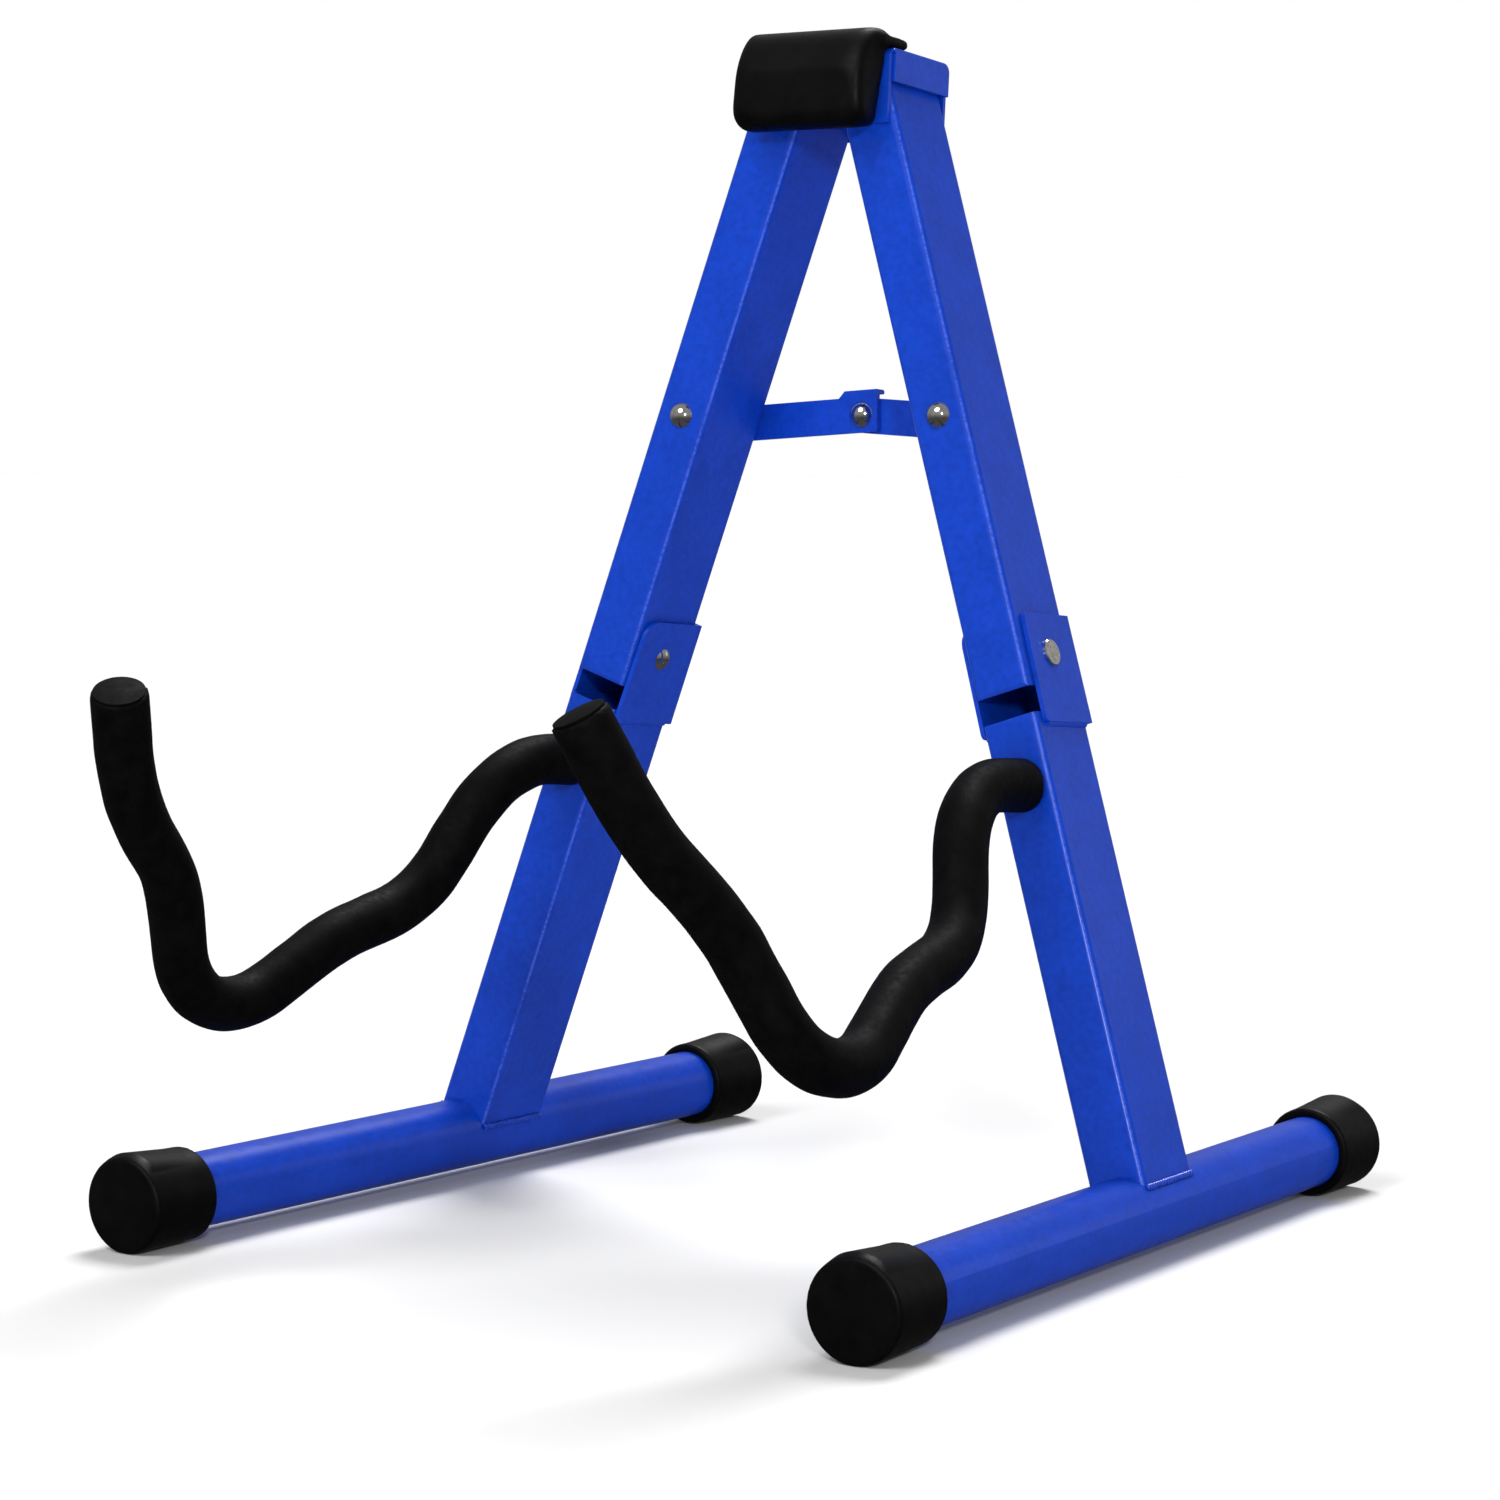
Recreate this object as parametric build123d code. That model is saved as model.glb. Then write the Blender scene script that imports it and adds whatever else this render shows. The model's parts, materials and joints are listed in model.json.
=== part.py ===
from build123d import *
import os
from math import atan, cos, degrees, hypot, radians, sin, tan

# A folding stand for one guitar. Two flat-sided steel legs lean together under a padded head, each
# leg hinged at its middle and welded to a round foot tube. A foam-covered arm on each lower leg
# holds the body of the instrument. Right-hand pieces are modelled and the left ones are mirrored.
#
# Leg frame: origin where the leg's axis meets the foot tube's axis, +X outwards, +Y rearwards,
# +Z up the leg. Lean frame: the plane of the A, origin midway between the feet, +Z up the A.

# ---------------------------------------------------------------- driving dimensions, mm and degrees
SPLAY = 18.0               # each leg from the middle line
LEAN = 4.5                 # rearward slope of the A
HALF_SPREAD = 137.9        # middle line to a foot tube's axis

LEG_WIDTH = 21.0
LEG_DEPTH = 35.0
LEG_WALL = 1.5
LEG_CORNER = 2.5
SHEET = 2.0                # links

FOOT_RADIUS = 12.7
FOOT_WALL = 1.5
FOOT_FRONT = 190.9         # leg axis to the end of the front cap
FOOT_REAR = 156.3          # leg axis to the end of the rear cap
CAP_RADIUS = 16.3          # largest, near the closed end
CAP_RIM_RADIUS = 15.75
CAP_LENGTH = 30.0
CAP_FLOOR = 3.4
CAP_ROUND = 1.5
CAP_CROWN = 0.4            # middle of the end face, out from its edge
CAP_RIM_ROUND = 0.8

LOWER_TOP = 167.8          # heights along the leg
FOLD_HEIGHT = 188.2
UPPER_BOTTOM = 177.0
LINK_HEIGHT = 275.0
HEAD_PIN_HEIGHT = 391.3
LEG_TOP_MARGIN = 9.5       # leg above the head pin

BRACKET_SHEET = 1.6
BRACKET_BOTTOM = 164.0
BRACKET_TOP = 202.0
BRACKET_INNER_FRONT = (16.0, 14.8)    # leg axis to a plate's front edge, at the bottom and the top
BRACKET_OUTER_FRONT = (13.4, 12.4)
BRACKET_BEND = 2.1         # outside radius
BRACKET_CORNER = 2.0
BRACKET_INNER_ROUND = 6.5  # top front corner of the inner plate
BRACKET_OUTER_ROUND = 2.6

LINK_WIDTH = 12.5
LINK_RISE = 3.3            # middle rivet above the leg rivets
LINK_END = 6.7             # middle rivet to the square end of the left link
LINK_SHOULDER = 2.5        # raised edge over the middle rivet
TAB_REACH = 5.2            # front face of the left link to the end of its stop tab
TAB_THICKNESS = 1.6
TAB_START = 4.0            # middle rivet to the near edge of the tab

HEAD_TOP = 387.4           # heights in the lean frame
HEAD_BOTTOM = 361.6
HEAD_SHEET = 1.6
HEAD_HALF_WIDTH = 29.4
HEAD_FRONT_HALF = 28.4
HEAD_REAR_HALF = 27.9
HEAD_BEND = 3.5
FLAP_DROP = 11.5
FLAP_SLOT = 0.8

PAD_TOP = 393.2
PAD_BOTTOM = 358.8
PAD_LIP = 4.0
PAD_LIP_REACH = 12.5       # behind the front face of the head
# Sections of the pad from its back to its crown: forward of the head, half widths at top and
# bottom, distance in from the pad's top and bottom edges, and corner radius.
PAD_SECTIONS = [
    (0.0, 28.4, 23.6, 0.0, 1.6, 3.0),
    (6.0, 27.0, 25.4, 0.0, 0.3, 4.0),
    (10.0, 26.0, 26.4, 2.6, 0.0, 5.0),
    (13.5, 25.4, 26.6, 8.0, 1.0, 6.0),
    (16.0, 22.0, 23.5, 14.5, 4.5, 6.0),
]

ROD_RADIUS = 4.0
ROD_WALL = 1.3
FOAM_RADIUS = 9.1
ARM_HEIGHT = 144.9         # along the leg
PLUG_THICKNESS = 1.4
# The arm leaves the leg square and is bent in the leg's own plane: for each corner of its line, the
# run up to the corner, the turn there (up is positive) and the bend radius.
ARM_BENDS = [
    (40.6, -66.0, 40.0),
    (58.2, 48.7, 38.0),
    (41.7, -16.7, 70.0),
    (69.6, 95.0, 35.0),
    (69.7, -21.3, 60.0),
    (40.5, 23.3, 100.0),
]
ARM_LAST_RUN = 40.0

RIVET_RADIUS = 2.5
RIVET_HEAD_RADIUS = 4.75
RIVET_HEAD_HEIGHT = 3.0
RIVET_TAIL_RADIUS = 4.2
RIVET_TAIL_HEIGHT = 1.8
PIN_RADIUS = 3.0           # head pins and fold barrels
PIN_HEAD_RADIUS = 5.5
PIN_HEAD_HEIGHT = 1.6
BARREL_HEAD_RADIUS = 4.7
BARREL_HEAD_HEIGHT = 1.0
SCREW_RADIUS = 2.0
SCREW_HEAD_RADIUS = 4.0
SCREW_HEAD_HEIGHT = 1.9
SCREW_LENGTH = 12.0
SOCKET_WIDTH = 2.5         # across flats
SOCKET_DEPTH = 1.3
WELD = 1.3

RIVET_GAP = 0.1            # a rivet's shank beyond the sheet it holds
PLUG_INSET = 0.9           # foam radius less the end plug's radius
EDGE_EASE = 0.8
FULL_ROUND_MARGIN = 0.05   # left flat in the middle of a fully rounded edge
HEAD_FOLD_ROUND = 1.2

GAP = 0.3                  # between flat faces that slide past each other
SIDE_GAP = 0.2             # bracket plate to upper leg
RUNNING = 0.06             # a turning hole over its pin, on the radius
SNUG = 0.03                # a fixed hole over its pin, on the radius

# ---------------------------------------------------------------- derived places
FOOT_TILT = degrees(atan(tan(radians(LEAN)) / cos(radians(SPLAY))))
LEAN_FRAME = Rot(-LEAN, 0, 0)
LEG_FRAME = LEAN_FRAME * Pos(HALF_SPREAD, 0, 0) * Rot(0, -SPLAY, 0)
FOOT_FRAME = LEG_FRAME * Rot(FOOT_TILT, 0, 0)

SIDE = LEG_WIDTH / 2
REAR = LEG_DEPTH / 2
PLATE_INSIDE = SIDE + SIDE_GAP
PLATE_OUTSIDE = PLATE_INSIDE + BRACKET_SHEET
SHELL_INSIDE = REAR + GAP
SHELL_OUTSIDE = SHELL_INSIDE + BRACKET_SHEET
HEAD_OUTSIDE = SHELL_INSIDE + HEAD_SHEET

LINK_PIN_X = HALF_SPREAD - LINK_HEIGHT * sin(radians(SPLAY))
LINK_PIN_Z = LINK_HEIGHT * cos(radians(SPLAY))
LINK_LENGTH = hypot(LINK_PIN_X, LINK_RISE)
LINK_SLOPE = degrees(atan(LINK_RISE / LINK_PIN_X))
HEAD_PIN_X = HALF_SPREAD - HEAD_PIN_HEIGHT * sin(radians(SPLAY))
HEAD_PIN_Z = HEAD_PIN_HEIGHT * cos(radians(SPLAY))

FRONT_LAYER = REAR + GAP                    # front face of the left link
REAR_LAYER = FRONT_LAYER + SHEET + GAP      # front face of the right link


# ---------------------------------------------------------------- shapes used more than once
def bar_x(radius, start, end):
    """A round bar along X."""
    return Pos((start + end) / 2, 0, 0) * Rot(0, 90, 0) * Cylinder(radius, end - start)


def bar_y(radius, start, end):
    """A round bar along Y."""
    return Pos(0, (start + end) / 2, 0) * Rot(90, 0, 0) * Cylinder(radius, end - start)


def dome(radius, height):
    """A domed rivet head standing on the XY plane."""
    ball = (radius**2 + height**2) / (2 * height)
    with BuildLine(Plane.XZ) as rim:
        Line((0, 0), (radius, 0))
        RadiusArc((radius, 0), (0, height), -ball)
        Line((0, height), (0, 0))
    return revolve(make_face(rim.line), Axis.Z)


def leg_tube(bottom, top):
    """A length of the flat-sided leg tube."""
    section = RectangleRounded(LEG_WIDTH, LEG_DEPTH, LEG_CORNER)
    section -= RectangleRounded(LEG_WIDTH - 2 * LEG_WALL, LEG_DEPTH - 2 * LEG_WALL, LEG_CORNER - LEG_WALL)
    return Pos(0, 0, bottom) * extrude(section, top - bottom)


def prism_x(face, half_width):
    """A side outline on the YZ plane, made solid to both sides of it."""
    return extrude(face, half_width, both=True)


# ---------------------------------------------------------------- legs, in the leg frame
def upper_tube():
    """Upper leg, its lower end eased so that it turns inside the fold bracket."""
    tube = leg_tube(UPPER_BOTTOM, HEAD_PIN_HEIGHT + LEG_TOP_MARGIN)
    drop = FOLD_HEIGHT - UPPER_BOTTOM
    sweep_front = FOLD_HEIGHT - LOWER_TOP - GAP
    for side, radius in ((1, REAR), (-1, sweep_front)):
        corner = Pos(0, side * REAR, -drop) * Box(2 * LEG_WIDTH, 2 * REAR, 2 * drop)
        corner -= bar_x(radius, -2 * LEG_WIDTH, 2 * LEG_WIDTH)
        tube -= Pos(0, 0, FOLD_HEIGHT) * corner
    tube -= Pos(0, 0, FOLD_HEIGHT) * bar_x(PIN_RADIUS + RUNNING, -LEG_WIDTH, LEG_WIDTH)
    tube -= Pos(0, 0, LINK_HEIGHT) * bar_y(RIVET_RADIUS + SNUG, -LEG_DEPTH, LEG_DEPTH)
    tube -= Pos(0, 0, HEAD_PIN_HEIGHT) * bar_y(PIN_RADIUS + RUNNING, -LEG_DEPTH, LEG_DEPTH)
    return tube


def lower_tube():
    """Lower leg, its bottom end notched to sit on the foot tube."""
    saddle = Rot(FOOT_TILT, 0, 0) * bar_y(FOOT_RADIUS, -LEG_DEPTH, LEG_DEPTH)
    return leg_tube(0, LOWER_TOP) - saddle


def plate_outline(front, corner):
    """A bracket plate from the side, with the radius of its top front corner."""
    bottom_front, top_front = front
    outline = Polygon(
        (-bottom_front, BRACKET_BOTTOM),
        (SHELL_OUTSIDE, BRACKET_BOTTOM),
        (SHELL_OUTSIDE, BRACKET_TOP),
        (-top_front, BRACKET_TOP),
        align=None,
    )
    by_tip = outline.vertices().sort_by_distance((-top_front, BRACKET_TOP))
    outline = fillet(by_tip[1:], BRACKET_CORNER)
    tip = outline.vertices().sort_by_distance((-top_front, BRACKET_TOP))[0]
    return Plane.YZ * fillet(tip, corner)


def fold_bracket():
    """U-shaped sheet around the fold, open to the front; its inner plate is the deeper one."""
    height = BRACKET_TOP - BRACKET_BOTTOM
    outside = RectangleRounded(2 * PLATE_OUTSIDE, 2 * SHELL_OUTSIDE, BRACKET_BEND)
    inside = RectangleRounded(2 * PLATE_INSIDE, 2 * SHELL_INSIDE, BRACKET_BEND - BRACKET_SHEET)
    mouth = Pos(0, -SHELL_OUTSIDE) * Rectangle(2 * PLATE_INSIDE, 2 * SHELL_OUTSIDE)
    wall = Pos(0, 0, BRACKET_BOTTOM) * extrude(outside - inside - mouth, height)
    inner = extrude(plate_outline(BRACKET_INNER_FRONT, BRACKET_INNER_ROUND), -LEG_WIDTH)
    outer = extrude(plate_outline(BRACKET_OUTER_FRONT, BRACKET_OUTER_ROUND), LEG_WIDTH)
    bracket = wall & (inner + outer)
    return bracket - Pos(0, 0, FOLD_HEIGHT) * bar_x(PIN_RADIUS + SNUG, -LEG_WIDTH, LEG_WIDTH)


def bracket_weld():
    """Fillet welds under the bracket's two plates and its back."""
    beads = []
    for side, front in ((-1, BRACKET_INNER_FRONT), (1, BRACKET_OUTER_FRONT)):
        bead = bar_y(WELD, BRACKET_CORNER - front[0], REAR - LEG_CORNER)
        beads.append(Pos(side * SIDE, 0, BRACKET_BOTTOM) * bead)
    beads.append(Pos(0, REAR, BRACKET_BOTTOM) * bar_x(WELD, LEG_CORNER - SIDE, SIDE - LEG_CORNER))
    below = Pos(0, 0, BRACKET_BOTTOM - WELD) * Box(4 * LEG_WIDTH, 4 * LEG_DEPTH, 2 * WELD)
    leg = Pos(0, 0, BRACKET_BOTTOM) * Box(LEG_WIDTH, LEG_DEPTH, 4 * WELD)
    return Compound([(bead & below - leg).solid() for bead in beads])


def fold_barrel():
    """Sleeve nut through bracket and leg, with a flat head outside."""
    barrel = bar_x(PIN_RADIUS, -PLATE_OUTSIDE, PLATE_OUTSIDE)
    head = bar_x(BARREL_HEAD_RADIUS, PLATE_OUTSIDE, PLATE_OUTSIDE + BARREL_HEAD_HEIGHT)
    head = chamfer(head.edges().group_by(Axis.X)[-1], BARREL_HEAD_HEIGHT / 3)
    bore = bar_x(SCREW_RADIUS + SNUG, -PLATE_OUTSIDE, SCREW_LENGTH - PLATE_OUTSIDE + SNUG)
    return Pos(0, 0, FOLD_HEIGHT) * (barrel + head - bore)


def fold_screw():
    """Button-head socket screw into the barrel from the inner side."""
    head = Rot(0, -90, 0) * dome(SCREW_HEAD_RADIUS, SCREW_HEAD_HEIGHT)
    socket = Rot(0, -90, 0) * extrude(RegularPolygon(SOCKET_WIDTH / 2, 6, major_radius=False), SCREW_HEAD_HEIGHT)
    head -= Pos(SOCKET_DEPTH - SCREW_HEAD_HEIGHT, 0, 0) * socket
    shank = bar_x(SCREW_RADIUS, 0, SCREW_LENGTH)
    return Pos(-PLATE_OUTSIDE, 0, FOLD_HEIGHT) * (head + shank)


def link_rivet(layer):
    """Domed rivet from the front face of the leg to the rear face of a link in the given layer."""
    grip = layer + SHEET + GAP
    head = Pos(0, -REAR, 0) * Rot(90, 0, 0) * dome(RIVET_HEAD_RADIUS, RIVET_HEAD_HEIGHT)
    shank = bar_y(RIVET_RADIUS, -REAR, grip)
    tail = bar_y(RIVET_TAIL_RADIUS, grip, grip + RIVET_TAIL_HEIGHT)
    tail = fillet(tail.edges().group_by(Axis.Y)[-1], RIVET_TAIL_HEIGHT / 2)
    return Pos(0, 0, LINK_HEIGHT) * (head + shank + tail)


def link_spacer():
    """Washer that sets the right link one layer back."""
    washer = bar_y(LINK_WIDTH / 2 - 1, REAR, REAR_LAYER - GAP)
    return Pos(0, 0, LINK_HEIGHT) * (washer - bar_y(RIVET_RADIUS + SNUG, 0, LEG_DEPTH))


# ---------------------------------------------------------------- feet, in the foot frame
def foot_tube():
    """Round foot tube, open inside its two caps."""
    front = CAP_FLOOR - FOOT_FRONT
    rear = FOOT_REAR - CAP_FLOOR
    return bar_y(FOOT_RADIUS, front, rear) - bar_y(FOOT_RADIUS - FOOT_WALL, front, rear)


def foot_cap():
    """Moulded rubber cup, closed end at the origin and opening towards +Y."""
    bore = FOOT_RADIUS + SNUG
    face = CAP_CROWN + CAP_ROUND
    taper = (CAP_RADIUS - CAP_RIM_RADIUS) / (CAP_LENGTH - face)
    rim = CAP_RIM_RADIUS + taper * CAP_RIM_ROUND
    with BuildLine() as half:
        ThreePointArc((0, 0), (CAP_RADIUS / 2, CAP_CROWN / 4), (CAP_RADIUS - CAP_ROUND, CAP_CROWN))
        RadiusArc((CAP_RADIUS - CAP_ROUND, CAP_CROWN), (CAP_RADIUS, face), -CAP_ROUND)
        Line((CAP_RADIUS, face), (rim, CAP_LENGTH - CAP_RIM_ROUND))
        Line((rim, CAP_LENGTH - CAP_RIM_ROUND), (rim - CAP_RIM_ROUND, CAP_LENGTH))
        Line((rim - CAP_RIM_ROUND, CAP_LENGTH), (bore, CAP_LENGTH))
        Line((bore, CAP_LENGTH), (bore, CAP_FLOOR))
        Line((bore, CAP_FLOOR), (0, CAP_FLOOR))
        Line((0, CAP_FLOOR), (0, 0))
    return revolve(make_face(half.line), Axis.Y)


def foot_weld():
    """Fillet welds along both sides of the leg, on top of the foot tube."""
    height = (FOOT_RADIUS**2 - SIDE**2) ** 0.5
    leg = Pos(0, 0, LEG_DEPTH) * Box(LEG_WIDTH, 2 * LEG_DEPTH, 2 * LEG_DEPTH)
    beads = []
    for side in (-1, 1):
        bead = Pos(side * SIDE, 0, height) * bar_y(WELD, 1 - REAR, REAR - 1)
        beads.append((bead - leg - bar_y(FOOT_RADIUS, -LEG_DEPTH, LEG_DEPTH)).solid())
    return Compound(beads)


# ---------------------------------------------------------------- cradle arm, in the leg frame
def arm_path(last_run):
    """Centre line of the arm, straight runs joined by tangent arcs."""
    y, z, heading = -REAR, ARM_HEIGHT, 0.0
    points = [(0, y, z)]
    for run, turn, _ in ARM_BENDS + [(last_run, 0, 0)]:
        y -= run * cos(radians(heading))
        z += run * sin(radians(heading))
        heading += turn
        points.append((0, y, z))
    return FilletPolyline(*points, radius=[radius for _, _, radius in ARM_BENDS])


def arm_section(path, radius):
    """A round bar along the arm."""
    start = Plane(origin=path @ 0, z_dir=path % 0)
    return sweep(start * Circle(radius), path=path)


def arm_rod():
    """Bent steel tube welded to the front of the lower leg."""
    path = arm_path(ARM_LAST_RUN)
    return arm_section(path, ROD_RADIUS) - arm_section(path, ROD_RADIUS - ROD_WALL)


def arm_foam():
    """Foam sleeve over the whole arm."""
    path = arm_path(ARM_LAST_RUN)
    sleeve = arm_section(path, FOAM_RADIUS) - arm_section(path, ROD_RADIUS + SNUG)
    root = Pos(0, -REAR, ARM_HEIGHT) * Box(3 * FOAM_RADIUS, 2 * GAP, 3 * FOAM_RADIUS)
    return sleeve - root


def arm_plug():
    """Push-in end plug with a low crown."""
    path = arm_path(ARM_LAST_RUN)
    rim = PLUG_THICKNESS / 2
    radius = FOAM_RADIUS - PLUG_INSET
    head = Pos(0, 0, rim / 2) * Cylinder(radius, rim) + Pos(0, 0, rim) * dome(radius, PLUG_THICKNESS - rim)
    stem_radius = ROD_RADIUS - ROD_WALL - SNUG
    stem = Pos(0, 0, -FOAM_RADIUS / 2) * Cylinder(stem_radius, FOAM_RADIUS)
    return Location(Plane(origin=path @ 1, z_dir=path % 1)) * (head + stem)


# ---------------------------------------------------------------- spreader, in the lean frame
def link_frame(side):
    """Frame on the middle rivet, +X towards the leg on the given side."""
    return LEAN_FRAME * Pos(0, 0, LINK_PIN_Z + LINK_RISE) * Rot(0, side * LINK_SLOPE, 0)


def link_bar():
    """Outline of a flat bar from the middle rivet's eye at the origin to the leg rivet's eye."""
    bar = Pos(LINK_LENGTH / 2, 0) * SlotCenterToCenter(LINK_LENGTH, LINK_WIDTH)
    bar -= Circle(RIVET_RADIUS + SNUG)
    bar -= Pos(LINK_LENGTH, 0) * Circle(RIVET_RADIUS + RUNNING)
    return bar


def left_link():
    """Front link, with a raised square end and a tab that stops the other link."""
    half = LINK_WIDTH / 2
    top = half + LINK_SHOULDER
    end = Polygon(
        (-LINK_END, -half),
        (LINK_END + LINK_SHOULDER, -half),
        (LINK_END + LINK_SHOULDER, half),
        (LINK_END, top),
        (-LINK_END, top),
        align=None,
    )
    end = fillet(end.vertices().sort_by(Axis.X)[:2], EDGE_EASE)
    plate = link_bar() + (end - Circle(RIVET_RADIUS + SNUG))
    link = Pos(0, FRONT_LAYER + SHEET, 0) * Rot(90, 0, 0) * extrude(plate, SHEET)
    tab_width = LINK_END - TAB_START
    tab = Pos(-TAB_START - tab_width / 2, FRONT_LAYER + TAB_REACH / 2, top - TAB_THICKNESS / 2)
    tab = tab * Box(tab_width, TAB_REACH, TAB_THICKNESS)
    tab = fillet(tab.edges().filter_by(Axis.X).group_by(Axis.Y)[-1], TAB_THICKNESS / 2 - FULL_ROUND_MARGIN)
    return link + tab


def right_link():
    """Rear link, a plain bar with two round ends."""
    return Pos(0, REAR_LAYER + SHEET, 0) * Rot(90, 0, 0) * extrude(link_bar(), SHEET)


def middle_rivet_front():
    """Domed head and the part of the shank inside the front link."""
    head = Pos(0, FRONT_LAYER, 0) * Rot(90, 0, 0) * dome(RIVET_HEAD_RADIUS, RIVET_HEAD_HEIGHT)
    return head + bar_y(RIVET_RADIUS, FRONT_LAYER, FRONT_LAYER + SHEET + RIVET_GAP)


def middle_rivet_rear():
    """Tail and the part of the shank inside the rear link."""
    back = REAR_LAYER + SHEET
    tail = bar_y(RIVET_TAIL_RADIUS, back, back + RIVET_TAIL_HEIGHT)
    tail = fillet(tail.edges().group_by(Axis.Y)[-1], RIVET_TAIL_HEIGHT / 2)
    return bar_y(RIVET_RADIUS, REAR_LAYER - RIVET_GAP, back) + tail


# ---------------------------------------------------------------- head, in the lean frame
def side_outline(reach, bottom, top, corner):
    """Side outline of the head: a rectangle with its two top corners rounded."""
    outline = Pos(0, (bottom + top) / 2) * Rectangle(2 * reach, top - bottom)
    return Plane.YZ * fillet(outline.vertices().group_by(Axis.Y)[-1], corner)


def head_yoke():
    """Folded sheet cap over both legs, with a flap bent down at each end."""
    shell = prism_x(side_outline(HEAD_OUTSIDE, HEAD_BOTTOM, HEAD_TOP, HEAD_BEND), HEAD_HALF_WIDTH)
    ceiling = HEAD_TOP - HEAD_SHEET
    room = side_outline(SHELL_INSIDE, HEAD_BOTTOM - HEAD_SHEET, ceiling, HEAD_BEND - HEAD_SHEET)
    shell -= prism_x(room, HEAD_HALF_WIDTH - HEAD_SHEET)
    long_edges = shell.edges().filter_by(Axis.Y).group_by(Axis.Z)[-1]
    shell = fillet(long_edges, HEAD_FOLD_ROUND)
    below = HEAD_TOP - FLAP_DROP - HEAD_BOTTOM
    height = ceiling - HEAD_BOTTOM
    front_step = HEAD_HALF_WIDTH - HEAD_FRONT_HALF
    rear_step = HEAD_HALF_WIDTH - HEAD_REAR_HALF
    for side in (-1, 1):
        edge = Pos(side * HEAD_HALF_WIDTH, 0, HEAD_BOTTOM)
        shell -= edge * Box(2 * HEAD_SHEET, 2 * SHELL_INSIDE, 2 * below)
        slot = Box(2 * HEAD_SHEET, FLAP_SLOT, 2 * height)
        shell -= edge * Pos(0, FLAP_SLOT / 2 - SHELL_INSIDE, 0) * slot
        front_trim = Box(2 * front_step, 2 * HEAD_SHEET, 4 * height)
        shell -= edge * Pos(0, -HEAD_OUTSIDE, 0) * front_trim
        rear_trim = Box(2 * rear_step, 4 * HEAD_SHEET, 2 * below)
        shell -= edge * Pos(0, HEAD_OUTSIDE, 0) * rear_trim
        shell -= Pos(side * HEAD_PIN_X, 0, HEAD_PIN_Z) * bar_y(PIN_RADIUS + SNUG, -LEG_DEPTH, LEG_DEPTH)
    return shell


def head_pins():
    """The two pivots of the legs, riveted through the head."""
    pins = []
    for side in (-1, 1):
        pin = bar_y(PIN_RADIUS, -HEAD_OUTSIDE, HEAD_OUTSIDE)
        front = bar_y(PIN_HEAD_RADIUS, -HEAD_OUTSIDE - PIN_HEAD_HEIGHT, -HEAD_OUTSIDE)
        rear = Pos(0, HEAD_OUTSIDE, 0) * Rot(-90, 0, 0) * dome(PIN_HEAD_RADIUS, RIVET_HEAD_HEIGHT)
        pins.append((Pos(side * HEAD_PIN_X, 0, HEAD_PIN_Z) * (front + pin + rear)).solid())
    return Compound(pins)


def pad_section(forward, half_top, half_bottom, top_inset, bottom_inset, corner):
    """Outline of the pad at one distance in front of the head."""
    outline = Polygon(
        (-half_bottom, PAD_BOTTOM + bottom_inset),
        (half_bottom, PAD_BOTTOM + bottom_inset),
        (half_top, PAD_TOP - top_inset),
        (-half_top, PAD_TOP - top_inset),
        align=None,
    )
    outline = fillet(outline.vertices(), corner)
    return Plane.XZ.offset(HEAD_OUTSIDE + forward) * outline


def neck_pad():
    """Moulded pad on the front of the head, with a lip over its top."""
    body = loft([pad_section(*row) for row in PAD_SECTIONS])
    lip_front = -HEAD_OUTSIDE - PAD_LIP
    lip_back = -HEAD_OUTSIDE + PAD_LIP_REACH
    lip = Pos(0, (lip_front + lip_back) / 2, HEAD_TOP + PAD_LIP / 2)
    lip = lip * Box(2 * PAD_SECTIONS[0][1], lip_back - lip_front, PAD_LIP)
    lip = fillet(lip.edges().filter_by(Axis.X).group_by(Axis.Y)[-1], PAD_LIP / 2 - FULL_ROUND_MARGIN)
    pad = body + lip
    for side in (-1, 1):
        pocket = bar_y(PIN_HEAD_RADIUS + GAP, -HEAD_OUTSIDE - PIN_HEAD_HEIGHT - GAP, -HEAD_OUTSIDE)
        pad -= Pos(side * HEAD_PIN_X, 0, HEAD_PIN_Z) * pocket
    return pad


# ---------------------------------------------------------------- assembly
def right_leg_nodes():
    """Pieces of the right leg that have a mirrored twin on the left."""
    front_cap = Pos(0, -FOOT_FRONT, 0) * foot_cap()
    rear_cap = Pos(0, FOOT_REAR, 0) * Rot(0, 0, 180) * foot_cap()
    return {
        "upper_tube": LEG_FRAME * upper_tube(),
        "lower_tube": LEG_FRAME * lower_tube(),
        "fold_bracket": LEG_FRAME * fold_bracket(),
        "bracket_weld": LEG_FRAME * bracket_weld(),
        "fold_barrel": LEG_FRAME * fold_barrel(),
        "fold_screw": LEG_FRAME * fold_screw(),
        "foot_tube": FOOT_FRAME * foot_tube(),
        "foot_cap_front": FOOT_FRAME * front_cap,
        "foot_cap_rear": FOOT_FRAME * rear_cap,
        "foot_weld": FOOT_FRAME * foot_weld(),
        "arm_rod": LEG_FRAME * arm_rod(),
        "arm_foam": LEG_FRAME * arm_foam(),
        "arm_plug": LEG_FRAME * arm_plug(),
    }


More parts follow.
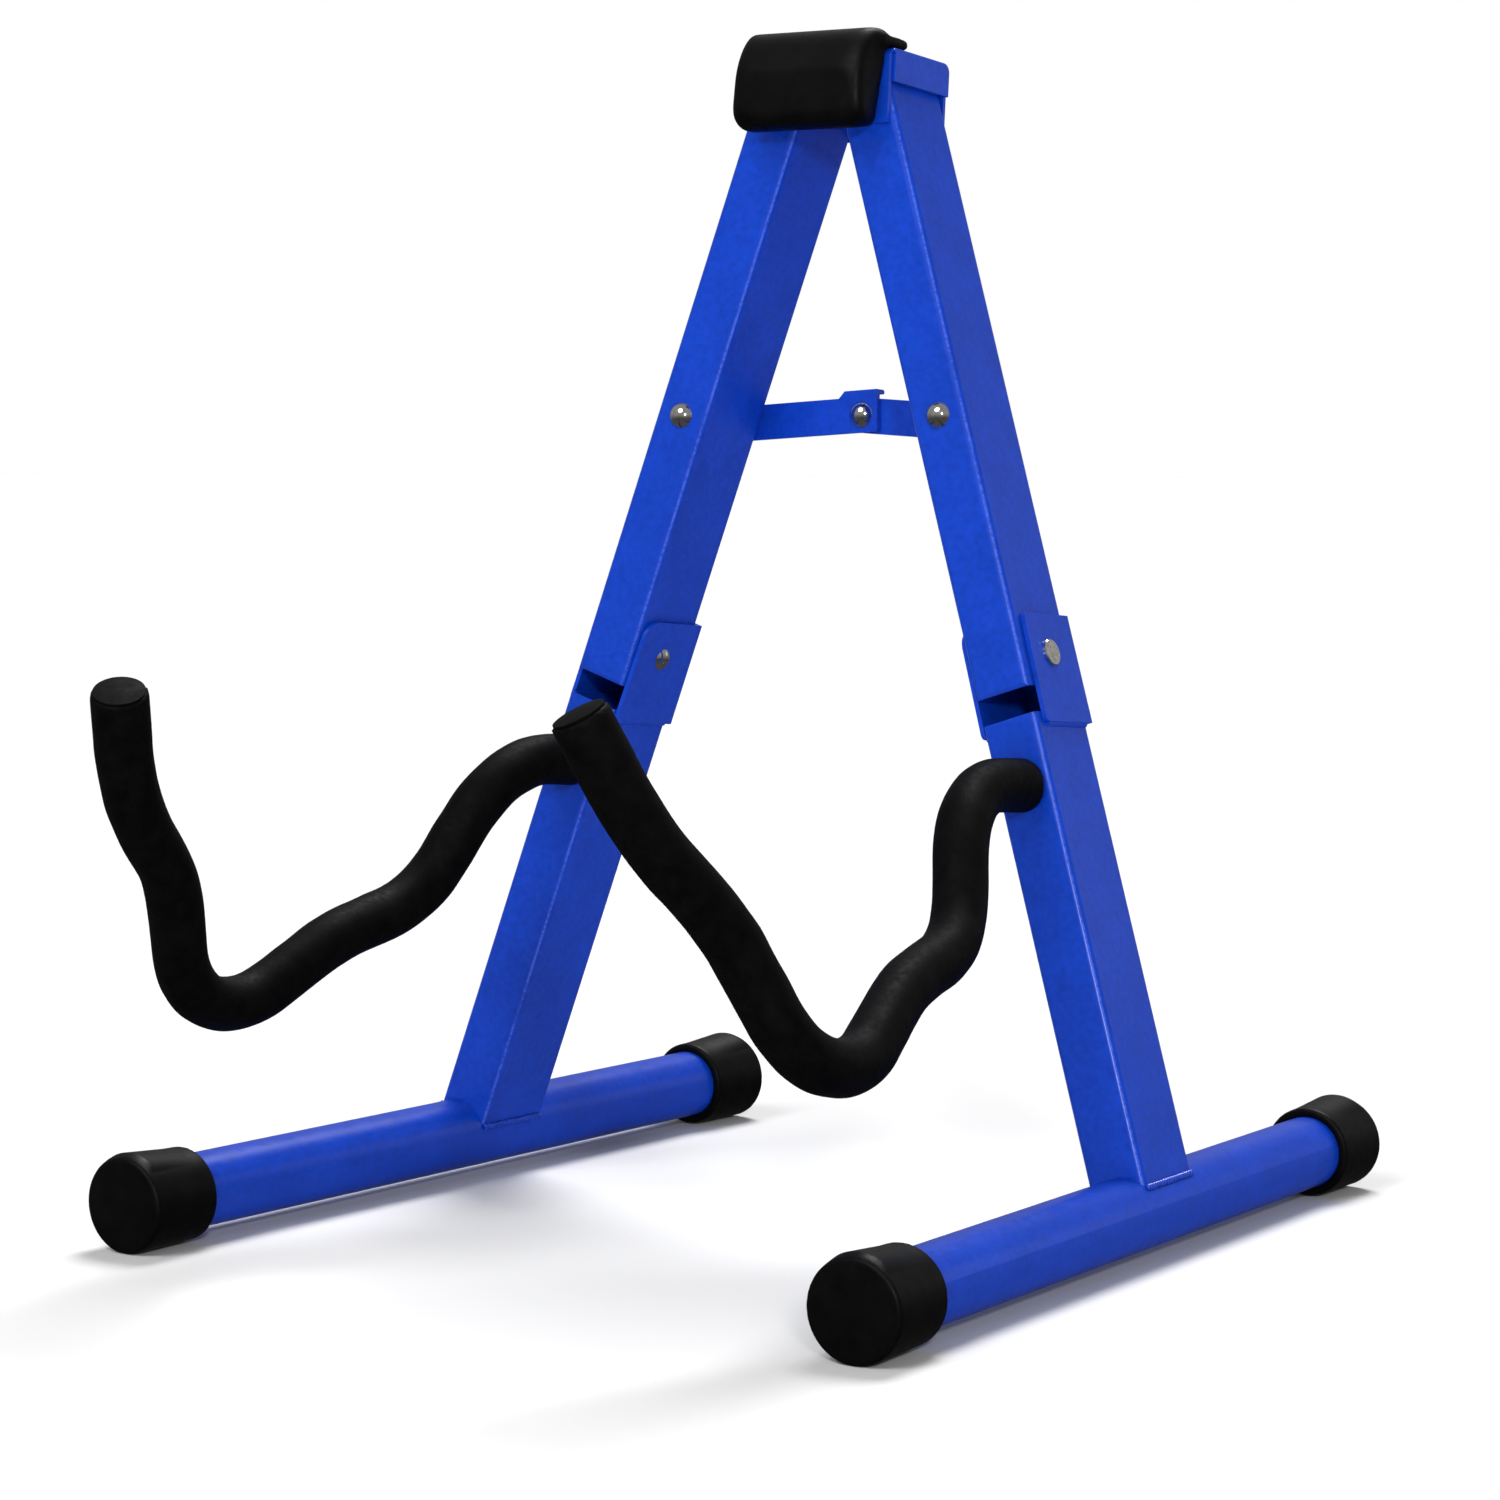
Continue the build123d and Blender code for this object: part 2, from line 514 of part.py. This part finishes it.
def all_nodes():
    """Every piece of the stand, in the frame of the feet."""
    nodes = {}
    for name, piece in right_leg_nodes().items():
        nodes["right_" + name] = piece
        nodes["left_" + name] = mirror(piece, about=Plane.YZ)
    nodes["right_link_rivet"] = LEG_FRAME * link_rivet(REAR_LAYER)
    nodes["right_link_spacer"] = LEG_FRAME * link_spacer()
    nodes["left_link_rivet"] = mirror(LEG_FRAME * link_rivet(FRONT_LAYER), about=Plane.YZ)
    nodes["right_link"] = link_frame(1) * right_link()
    nodes["left_link"] = mirror(link_frame(1) * left_link(), about=Plane.YZ)
    nodes["middle_rivet_front"] = LEAN_FRAME * Pos(0, 0, LINK_PIN_Z + LINK_RISE) * middle_rivet_front()
    nodes["middle_rivet_rear"] = LEAN_FRAME * Pos(0, 0, LINK_PIN_Z + LINK_RISE) * middle_rivet_rear()
    nodes["head_yoke"] = LEAN_FRAME * head_yoke()
    nodes["head_pins"] = LEAN_FRAME * head_pins()
    nodes["neck_pad"] = LEAN_FRAME * neck_pad()
    return nodes


def to_floor(nodes):
    """Move the whole stand so that it stands on Z = 0 and is centred on the origin."""
    boxes = [piece.bounding_box() for piece in nodes.values()]
    front = min(box.min.Y for box in boxes)
    rear = max(box.max.Y for box in boxes)
    shift = Pos(0, -(front + rear) / 2, CAP_RADIUS)
    print("shift", tuple(shift.position))
    return {name: shift * piece for name, piece in nodes.items()}


os.makedirs("parts", exist_ok=True)
for node_name, node in to_floor(all_nodes()).items():
    export_step(node, os.path.join("parts", node_name + ".step"))
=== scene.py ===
import json
from math import atan2, cos, pi, radians, sin

import bmesh
import bpy
from mathutils import Matrix, Vector, noise

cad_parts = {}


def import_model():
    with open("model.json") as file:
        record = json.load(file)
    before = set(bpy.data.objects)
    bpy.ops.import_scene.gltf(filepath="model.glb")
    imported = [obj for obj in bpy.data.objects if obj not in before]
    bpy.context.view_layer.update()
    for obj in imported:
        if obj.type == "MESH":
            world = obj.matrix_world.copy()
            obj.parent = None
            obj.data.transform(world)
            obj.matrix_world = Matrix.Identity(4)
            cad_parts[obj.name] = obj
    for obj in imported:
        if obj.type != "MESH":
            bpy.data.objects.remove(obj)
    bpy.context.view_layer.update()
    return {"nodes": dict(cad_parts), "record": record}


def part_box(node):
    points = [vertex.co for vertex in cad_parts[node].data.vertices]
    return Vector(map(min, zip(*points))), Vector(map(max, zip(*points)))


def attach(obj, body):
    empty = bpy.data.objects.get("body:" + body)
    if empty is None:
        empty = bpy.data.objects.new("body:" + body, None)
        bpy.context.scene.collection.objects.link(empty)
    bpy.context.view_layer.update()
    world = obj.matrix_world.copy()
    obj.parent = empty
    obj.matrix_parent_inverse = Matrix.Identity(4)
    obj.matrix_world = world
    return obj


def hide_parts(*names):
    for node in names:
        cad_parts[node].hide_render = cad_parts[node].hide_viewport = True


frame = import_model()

NODES = frame["nodes"]
SIDES = ("left", "right")
LEG_TUBES = [side + tube for side in SIDES for tube in ("_upper_tube", "_lower_tube")]

# ---------------------------------------------------------------- colours, linear
BLUE = (0.003, 0.050, 0.510, 1)
BLUE_DEEP = (0.002, 0.038, 0.395, 1)
# lighter blue for the tube corners: painted highlight and wear
BLUE_WEAR_AND_HIGHLIGHT = (0.052, 0.115, 0.68, 1)
NICKEL = (0.86, 0.84, 0.79, 1)
NICKEL_WORN = (0.66, 0.64, 0.60, 1)
STEEL_DARK = (0.20, 0.20, 0.21, 1)
STEEL_LIGHT = (0.32, 0.32, 0.33, 1)
FOAM_BLACK = (0.0010, 0.0010, 0.0011, 1)
FOAM_GREY = (0.0026, 0.0026, 0.0026, 1)
RUBBER_BLACK = (0.0010, 0.0010, 0.0011, 1)
RUBBER_GREY = (0.0026, 0.0026, 0.0026, 1)
FLOOR_WHITE = (0.80, 0.80, 0.80, 1)
FLOOR_WHITER = (0.81, 0.81, 0.81, 1)
WHITE = (1, 1, 1, 1)
BLACK = (0, 0, 0, 1)
FAINT = (0.15, 0.15, 0.15, 1)


# ---------------------------------------------------------------- materials
class Shader:
    """A Principled material whose colour, roughness and bump are built up from textures."""

    def __init__(self, name, **values):
        self.material = bpy.data.materials.new(name)
        self.material.use_nodes = True
        self.tree = self.material.node_tree
        self.surface = self.tree.nodes["Principled BSDF"]
        for socket, value in values.items():
            self.surface.inputs[socket.replace("_", " ")].default_value = value
        self.place = self.tree.nodes.new("ShaderNodeTexCoord").outputs["Object"]
        self.bump_in = None

    def noise(self, scale, detail=3.0, roughness=0.5):
        node = self.tree.nodes.new("ShaderNodeTexNoise")
        node.inputs["Scale"].default_value = scale
        node.inputs["Detail"].default_value = detail
        node.inputs["Roughness"].default_value = roughness
        self.tree.links.new(self.place, node.inputs["Vector"])
        return node.outputs["Fac"]

    def mixed_noise(self, broad, fine):
        """Broad clouds with a fine mottle over them."""
        mottle = self.maths("MULTIPLY", self.noise(fine, 3), 0.6)
        return self.maths("MULTIPLY_ADD", self.noise(broad, 4), 0.4, mottle)

    def cells(self, scale):
        node = self.tree.nodes.new("ShaderNodeTexVoronoi")
        node.feature = "SMOOTH_F1"
        node.inputs["Scale"].default_value = scale
        node.inputs["Smoothness"].default_value = 0.6
        self.tree.links.new(self.place, node.inputs["Vector"])
        return node.outputs["Distance"]

    def ramp(self, value, low, high, first, second):
        """Maps value, from low to high, onto two colours or two greys."""
        node = self.tree.nodes.new("ShaderNodeValToRGB")
        node.color_ramp.elements[0].position = low
        node.color_ramp.elements[1].position = high
        node.color_ramp.elements[0].color = first
        node.color_ramp.elements[1].color = second
        self.tree.links.new(value, node.inputs["Fac"])
        return node.outputs["Color"]

    def colour(self, value, low, high, first, second):
        base = self.surface.inputs["Base Color"]
        self.tree.links.new(self.ramp(value, low, high, first, second), base)

    def maths(self, operation, *values):
        """A Math node on values and sockets."""
        node = self.tree.nodes.new("ShaderNodeMath")
        node.operation = operation
        for slot, value in zip(node.inputs, values):
            if isinstance(value, (int, float)):
                slot.default_value = value
            else:
                self.tree.links.new(value, slot)
        return node.outputs[0]

    def bends(self):
        """1 along the middle of a leg tube's rounded corners, 0 on its flat sides."""
        coordinates = self.tree.nodes.new("ShaderNodeTexCoord")
        parts = self.tree.nodes.new("ShaderNodeSeparateXYZ")
        self.tree.links.new(coordinates.outputs["Normal"], parts.inputs[0])
        square = self.maths("MULTIPLY", parts.outputs["Y"], parts.outputs["Y"])
        rest = self.maths("SUBTRACT", 1.0, square)
        return self.maths("MULTIPLY", self.maths("MULTIPLY", square, rest), 4.0)

    def worn_and_highlit_edges(self, colour):
        """The paint is lighter along the tube's corners: a painted highlight on the corner lines,
        broken up like rubbed, thinner paint.
        """
        edge = self.ramp(self.bends(), 0.80, 0.98, BLACK, WHITE)
        wear_and_highlight = self.ramp(self.mixed_noise(45, 900), 0.40, 0.56, FAINT, WHITE)
        mix = self.tree.nodes.new("ShaderNodeMix")
        mix.data_type = "RGBA"
        self.tree.links.new(self.maths("MULTIPLY", edge, wear_and_highlight), mix.inputs[0])
        base = self.surface.inputs["Base Color"]
        self.tree.links.new(base.links[0].from_socket, mix.inputs[6])
        mix.inputs[7].default_value = colour
        self.tree.links.new(mix.outputs[2], base)

    def roughness(self, value, least, most):
        first, second = (least, least, least, 1), (most, most, most, 1)
        grey = self.ramp(value, 0.3, 0.7, first, second)
        self.tree.links.new(grey, self.surface.inputs["Roughness"])

    def bump(self, value, strength, distance):
        node = self.tree.nodes.new("ShaderNodeBump")
        node.inputs["Strength"].default_value = strength
        node.inputs["Distance"].default_value = distance
        self.tree.links.new(value, node.inputs["Height"])
        if self.bump_in is not None:
            self.tree.links.new(self.bump_in, node.inputs["Normal"])
        self.bump_in = node.outputs["Normal"]
        self.tree.links.new(self.bump_in, self.surface.inputs["Normal"])


def powder_coat(name, wear_and_highlight):
    """Cobalt powder coat: fine orange peel under a soft gloss; with the second argument, a painted
    highlight and wear lighten its corners.
    """
    shader = Shader(name, Specular_IOR_Level=0.22, Coat_Weight=0.08, Coat_Roughness=0.12)
    shader.colour(shader.mixed_noise(60, 420), 0.36, 0.64, BLUE_DEEP, BLUE)
    # painted highlight and wear along the leg tubes' corners
    if wear_and_highlight:
        shader.worn_and_highlit_edges(BLUE_WEAR_AND_HIGHLIGHT)
    shader.roughness(shader.noise(240, 2), 0.28, 0.37)
    shader.bump(shader.noise(1500, 2, 0.6), 0.16, 0.0001)
    shader.bump(shader.noise(420, 2), 0.10, 0.0002)
    return shader.material


def weld_coat():
    """The same paint, glossier where it has run over a weld bead."""
    shader = Shader("weld_coat", Specular_IOR_Level=0.4, Coat_Weight=0.35, Coat_Roughness=0.10)
    shader.colour(shader.noise(300, 3), 0.35, 0.7, BLUE_DEEP, BLUE)
    shader.roughness(shader.noise(500, 2), 0.22, 0.34)
    shader.bump(shader.noise(900, 3), 0.3, 0.0003)
    return shader.material


def nickel_plate():
    """Bright nickel with a little tarnish and fine turning marks."""
    shader = Shader("nickel_plate", Metallic=1.0)
    shader.colour(shader.noise(700, 5, 0.65), 0.35, 0.7, NICKEL_WORN, NICKEL)
    shader.roughness(shader.noise(900, 3), 0.07, 0.16)
    shader.bump(shader.noise(1300, 2), 0.10, 0.00004)
    return shader.material


def foam_rubber():
    """Closed-cell foam sleeve: fine pores in a dull black skin."""
    shader = Shader("foam_rubber", Specular_IOR_Level=0.05, Sheen_Weight=0.004, Sheen_Roughness=0.5)
    shader.colour(shader.noise(160, 4), 0.3, 0.7, FOAM_BLACK, FOAM_GREY)
    shader.roughness(shader.noise(500, 3), 0.52, 0.68)
    shader.bump(shader.cells(1700), 0.25, 0.00018)
    shader.bump(shader.noise(130, 3), 0.12, 0.0006)
    return shader.material


def moulded_rubber(name, least, most, specular):
    """Moulded black rubber with a fine spark-eroded grain."""
    shader = Shader(name, Specular_IOR_Level=specular)
    shader.colour(shader.noise(120, 4), 0.3, 0.7, RUBBER_BLACK, RUBBER_GREY)
    shader.roughness(shader.noise(350, 3), least, most)
    shader.bump(shader.noise(2200, 3, 0.7), 0.18, 0.0001)
    shader.bump(shader.noise(90, 2), 0.08, 0.0005)
    return shader.material


def rod_steel():
    """Drawn steel tube, dull grey."""
    shader = Shader("rod_steel", Metallic=1.0)
    shader.colour(shader.noise(400, 4), 0.3, 0.7, STEEL_DARK, STEEL_LIGHT)
    shader.roughness(shader.noise(600, 3), 0.3, 0.5)
    shader.bump(shader.noise(1800, 2), 0.1, 0.00005)
    return shader.material


MATERIALS = {
    "blue_coat": powder_coat("powder_coat", False),
    "worn_highlit_coat": powder_coat("powder_coat_worn_highlit", True),
    "weld": weld_coat(),
    "nickel": nickel_plate(),
    "foam": foam_rubber(),
    "moulded_pad": moulded_rubber("pad_rubber", 0.40, 0.52, 0.10),
    "rubber_cap": moulded_rubber("cap_rubber", 0.38, 0.50, 0.09),
    "rubber_plug": moulded_rubber("plug_rubber", 0.55, 0.70, 0.05),
    "rod_steel": rod_steel(),
}


def paint(obj, slot):
    obj.data.materials.clear()
    obj.data.materials.append(MATERIALS[slot])


def paint_frame():
    """Gives each CAD node the material of its slot, or a variant of it."""
    for part in frame["record"]["subparts"]:
        node = NODES[part["node"]]
        finish = part["material_slot"]
        if part["node"] in LEG_TUBES:
            # leg tubes: the coat with a painted corner highlight and wear
            finish = "worn_highlit_coat"
        elif part["node"].endswith("_arm_plug"):
            finish = "rubber_plug"
        elif part["node"].endswith("_bracket_weld"):
            finish = "blue_coat"
        for number in range(len(node.material_slots)):
            node.material_slots[number].material = MATERIALS[finish]


# ---------------------------------------------------------------- mesh helpers
def body_of_node(node):
    for body, members in frame["record"]["behaviour"]["bodies"].items():
        if node in members:
            return body


def finished(obj):
    """The object's mesh with its modifiers applied, smooth shaded."""
    bpy.context.view_layer.update()
    mesh = bpy.data.meshes.new_from_object(obj.evaluated_get(bpy.context.evaluated_depsgraph_get()))
    obj.modifiers.clear()
    obj.data = mesh
    for face in mesh.polygons:
        face.use_smooth = True
    return obj


def soft_copy(node, name, voxel, rounds):
    """A smooth, evenly meshed copy of a CAD solid, with its edges eased."""
    mesh = NODES[node].data.copy()
    work = bmesh.new()
    work.from_mesh(mesh)
    bmesh.ops.remove_doubles(work, verts=work.verts, dist=1e-6)
    work.to_mesh(mesh)
    work.free()
    obj = bpy.data.objects.new(name, mesh)
    bpy.context.scene.collection.objects.link(obj)
    remesh = obj.modifiers.new("even", "REMESH")
    remesh.mode = "VOXEL"
    remesh.voxel_size = voxel
    ease = obj.modifiers.new("ease", "SMOOTH")
    ease.factor = 0.5
    ease.iterations = rounds
    return finished(obj)


def stand_for(obj, node, slot):
    """obj replaces a CAD node, in the given material."""
    paint(obj, slot)
    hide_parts(node)
    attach(obj, body_of_node(node))


# ---------------------------------------------------------------- soft pieces, caps and welds
FOAM_VOXEL = 0.0011
FOAM_ROUNDS = 4
FOAM_WAVE = 0.0003
FOAM_WAVES_PER_METRE = 90
PAD_VOXEL = 0.0007
PAD_ROUNDS = 22
CAP_VOXEL = 0.0006
CAP_ROUNDS = 1
LUG_HEIGHT = 0.0012
LUG_START = 0.0016
LUG_RISE = 0.0026
LUG_END = 0.024
LUG_HALF_ANGLE = 0.75
LUG_INSIDE = 0.0145        # from the axis: the bore's wall isn't moved
BEAD_VOXEL = 0.00035
BEAD_ROUNDS = 5
BEAD_RIPPLE = 0.00016
BEAD_PITCH = 0.0017


def displace(obj, height):
    """Moves each point of the surface out by height(its place)."""
    vertices = obj.data.vertices
    moved = [vertex.co + vertex.normal * height(vertex.co) for vertex in vertices]
    obj.data.vertices.foreach_set("co", [value for point in moved for value in point])
    obj.data.update()


def waves(point):
    return FOAM_WAVE * noise.noise(point * FOAM_WAVES_PER_METRE)


def ripples(point):
    return BEAD_RIPPLE * sin(2 * pi * (point.y + 0.3 * point.x) / BEAD_PITCH)


def foam_sleeves():
    for side in SIDES:
        node = side + "_arm_foam"
        sleeve = soft_copy(node, side + "_foam_sleeve", FOAM_VOXEL, FOAM_ROUNDS)
        displace(sleeve, waves)
        stand_for(sleeve, node, "foam")


def head_pad():
    pad = soft_copy("neck_pad", "moulded_neck_pad", PAD_VOXEL, PAD_ROUNDS)
    stand_for(pad, "neck_pad", "moulded_pad")


def lug(point, axis, face, inward):
    """Height of the moulded lug on top of a foot cap, behind its closed end."""
    depth = (point.y - face) * inward
    rise = min(max((depth - LUG_START) / LUG_RISE, 0), 1)
    fall = min(max((LUG_END - depth) / (LUG_END - LUG_START), 0), 1)
    aside = abs(atan2(point.x - axis.x, point.z - axis.z)) / LUG_HALF_ANGLE
    outside = (point.xz - axis.xz).length > LUG_INSIDE
    return LUG_HEIGHT * rise * fall * max(1 - aside**3, 0) * outside


def foot_caps():
    for side in SIDES:
        for end in ("front", "rear"):
            node = side + "_foot_cap_" + end
            cap = soft_copy(node, side + "_rubber_cap_" + end, CAP_VOXEL, CAP_ROUNDS)
            low, high = [Vector(corner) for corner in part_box(node)]
            face, inward = (low.y, 1) if end == "front" else (high.y, -1)
            axis = (low + high) / 2
            displace(cap, lambda point: lug(point, axis, face, inward))
            stand_for(cap, node, "rubber_cap")


def weld_beads():
    """The foot welds, with the overlapping ripples that the torch leaves."""
    for side in SIDES:
        node = side + "_foot_weld"
        bead = soft_copy(node, side + "_foot_bead", BEAD_VOXEL, BEAD_ROUNDS)
        displace(bead, ripples)
        stand_for(bead, node, "weld")


# ---------------------------------------------------------------- camera, light and floor
CAMERA_PLACE = (0.7512, -1.1052, 0.2662)
CAMERA_AZIMUTH = 33.74
CAMERA_ELEVATION = 4.31
CAMERA_ROLL = 0.2
CAMERA_LENS = 95.4
BACKDROP = 1.0
ROOM_LIGHT = 0.27
ROOM_DARK = 0.07           # below the horizon
ROOM_FADE = (-0.25, 0.2)   # where the room goes from dark to light, as a direction's height
AIM = (0, 0, 0.2)
FLOOR_RADIUS = 40
# name, azimuth, elevation, spread in degrees, strength
SUNS = (("overhead", 195, 60, 26, 2.6), ("key", -5, 42, 30, 1.45))
# name, azimuth, elevation, distance, size, power
SOFTBOXES = (("edge_light", 40, 16, 2.4, 0.22, 20), ("side_panel", 145, 14, 2.4, 0.7, 0.9))


def camera():
    data = bpy.data.cameras.new("camera")
    data.lens = CAMERA_LENS
    data.sensor_width = 36
    data.clip_start = 0.01
    obj = bpy.data.objects.new("camera", data)
    turn = Matrix.Rotation(radians(CAMERA_AZIMUTH), 4, "Z")
    tilt = Matrix.Rotation(radians(90 - CAMERA_ELEVATION), 4, "X")
    roll = Matrix.Rotation(radians(CAMERA_ROLL), 4, "Z")
    obj.matrix_world = Matrix.Translation(CAMERA_PLACE) @ turn @ tilt @ roll
    bpy.context.scene.collection.objects.link(obj)
    bpy.context.scene.camera = obj


def softbox(name, azimuth, elevation, distance, size, power):
    """A square area light aimed at the middle of the stand."""
    data = bpy.data.lights.new(name, "AREA")
    data.size = size
    data.energy = power
    obj = bpy.data.objects.new(name, data)
    a, e = radians(azimuth), radians(elevation)
    away = Vector((sin(a) * cos(e), -cos(a) * cos(e), sin(e)))
    obj.location = Vector(AIM) + away * distance
    obj.rotation_mode = "QUATERNION"
    obj.rotation_quaternion = away.to_track_quat("Z", "Y")
    obj.visible_camera = False
    bpy.context.scene.collection.objects.link(obj)


def floor():
    mesh = bpy.data.meshes.new("floor")
    work = bmesh.new()
    bmesh.ops.create_circle(work, cap_ends=True, radius=FLOOR_RADIUS, segments=96)
    work.to_mesh(mesh)
    work.free()
    obj = bpy.data.objects.new("floor", mesh)
    bpy.context.scene.collection.objects.link(obj)
    shader = Shader("floor_white", Roughness=0.8, Specular_IOR_Level=0.1)
    shader.colour(shader.noise(3, 2), 0.3, 0.7, FLOOR_WHITE, FLOOR_WHITER)
    mesh.materials.append(shader.material)
    obj.visible_glossy = False


def world():
    """A white backdrop, and a dimmer room, darkest below, that lights the stand."""
    sky = bpy.data.worlds.new("studio")
    sky.use_nodes = True
    tree = sky.node_tree
    room = tree.nodes["Background"]
    room.inputs["Color"].default_value = WHITE
    height = tree.nodes.new("ShaderNodeSeparateXYZ")
    tree.links.new(tree.nodes.new("ShaderNodeTexCoord").outputs["Generated"], height.inputs[0])
    light = tree.nodes.new("ShaderNodeMapRange")
    light.inputs["From Min"].default_value = ROOM_FADE[0]
    light.inputs["From Max"].default_value = ROOM_FADE[1]
    light.inputs["To Min"].default_value = ROOM_DARK
    light.inputs["To Max"].default_value = ROOM_LIGHT
    tree.links.new(height.outputs["Z"], light.inputs["Value"])
    tree.links.new(light.outputs[0], room.inputs["Strength"])
    backdrop = tree.nodes.new("ShaderNodeBackground")
    backdrop.inputs["Color"].default_value = WHITE
    backdrop.inputs["Strength"].default_value = BACKDROP
    rays = tree.nodes.new("ShaderNodeLightPath")
    pick = tree.nodes.new("ShaderNodeMixShader")
    tree.links.new(rays.outputs["Is Camera Ray"], pick.inputs[0])
    tree.links.new(room.outputs[0], pick.inputs[1])
    tree.links.new(backdrop.outputs[0], pick.inputs[2])
    tree.links.new(pick.outputs[0], tree.nodes["World Output"].inputs["Surface"])
    bpy.context.scene.world = sky


def sun(name, azimuth, elevation, spread, strength):
    """A distant soft light, from that side and height."""
    data = bpy.data.lights.new(name, "SUN")
    data.angle = radians(spread)
    data.energy = strength
    obj = bpy.data.objects.new(name, data)
    a, e = radians(azimuth), radians(elevation)
    away = Vector((sin(a) * cos(e), -cos(a) * cos(e), sin(e)))
    obj.rotation_mode = "QUATERNION"
    obj.rotation_quaternion = away.to_track_quat("Z", "Y")
    bpy.context.scene.collection.objects.link(obj)


def studio():
    bpy.context.scene.view_settings.view_transform = "Standard"
    bpy.context.scene.view_settings.look = "None"
    camera()
    floor()
    world()
    for light in SUNS:
        sun(*light)
    for light in SOFTBOXES:
        softbox(*light)


paint_frame()
foam_sleeves()
head_pad()
foot_caps()
weld_beads()
studio()
